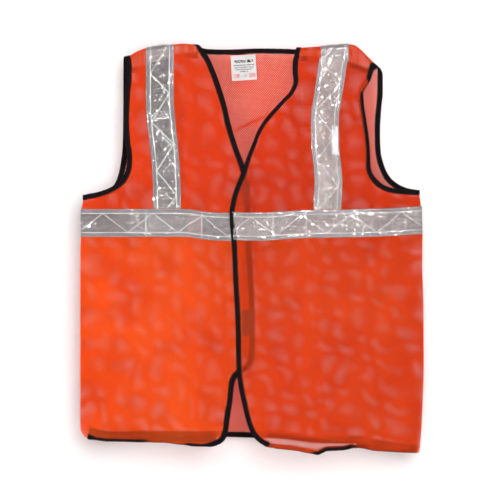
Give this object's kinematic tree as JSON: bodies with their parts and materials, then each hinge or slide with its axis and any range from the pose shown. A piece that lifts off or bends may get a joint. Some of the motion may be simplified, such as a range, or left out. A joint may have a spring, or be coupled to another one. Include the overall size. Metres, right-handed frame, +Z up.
{
  "type": "high visibility vest",
  "caption": "Sleeveless orange mesh safety vest with black edge binding, grey reflective tape on waist and uprights, V neck, rounded hem corners and hook-and-loop front that opens.",
  "frame": {"origin": "centre of the bounding box's footprint, at the lowest point of the hem", "axes": "+Z up as worn, the front faces -Y, +X is the wearer's left"},
  "size_m": [0.6194, 0.0714, 0.7402],
  "materials": {
    "mesh_cloth": "orange-red knitted polyester mesh with small open holes",
    "edge_binding": "black woven binding tape, matte",
    "reflective_tape": "grey reflective backing cloth, fine bright weld lines",
    "clear_film": "clear crinkled plastic film, glossy",
    "label_cloth": "off-white woven label",
    "hook_and_loop": "black hook-and-loop pile"
  },
  "bodies": {
    "torso": {"back_panel": "mesh_cloth", "right_front_panel": "mesh_cloth", "left_front_panel": "mesh_cloth", "neck_binding": "edge_binding", "right_armhole_binding": "edge_binding", "left_armhole_binding": "edge_binding", "back_hem_binding": "edge_binding", "right_hem_binding": "edge_binding", "left_hem_binding": "edge_binding", "right_side_seam": "mesh_cloth", "left_side_seam": "mesh_cloth", "right_shoulder_seam": "mesh_cloth", "left_shoulder_seam": "mesh_cloth", "right_front_tape": "reflective_tape", "right_front_tape_film": "clear_film", "left_front_tape": "reflective_tape", "left_front_tape_film": "clear_film", "right_back_tape": "reflective_tape", "right_back_tape_film": "clear_film", "left_back_tape": "reflective_tape", "left_back_tape_film": "clear_film", "waist_back_tape": "reflective_tape", "waist_back_tape_film": "clear_film", "waist_right_tape": "reflective_tape", "waist_right_tape_film": "clear_film", "waist_left_tape": "reflective_tape", "waist_left_tape_film": "clear_film"},
    "left_front": {"left_front_flap": "mesh_cloth", "left_front_edge_binding": "edge_binding", "left_flap_hem_binding": "edge_binding", "waist_left_flap_tape": "reflective_tape", "waist_left_flap_tape_film": "clear_film", "hook_upper": "hook_and_loop", "hook_lower": "hook_and_loop"},
    "right_front": {"right_front_flap": "mesh_cloth", "right_front_edge_binding": "edge_binding", "right_flap_hem_binding": "edge_binding", "waist_right_flap_tape": "reflective_tape", "waist_right_flap_tape_film": "clear_film", "loop_upper": "hook_and_loop", "loop_lower": "hook_and_loop"},
    "label": {"neck_label": "label_cloth"}
  },
  "joints": [
    {"name": "left_front_open", "type": "hinge", "parent": "torso", "child": "left_front", "pos_m": [0.09198, -0.02295, 0.32009], "axis": [-0.0376, 0.0269, 0.9989], "range_deg": [0, 150]},
    {"name": "right_front_open", "type": "hinge", "parent": "torso", "child": "right_front", "pos_m": [-0.09817, -0.02228, 0.34009], "axis": [-0.0171, -0.0272, -0.9995], "range_deg": [0, 120]},
    {"name": "label_flip", "type": "hinge", "parent": "torso", "child": "label", "pos_m": [-0.01634, 0.00599, 0.71959], "axis": [-1, 0, 0], "range_deg": [0, 150]}
  ],
  "couplings": [
    {"joint": "right_front_open", "follows": "left_front_open", "ratio": 0.8}
  ]
}
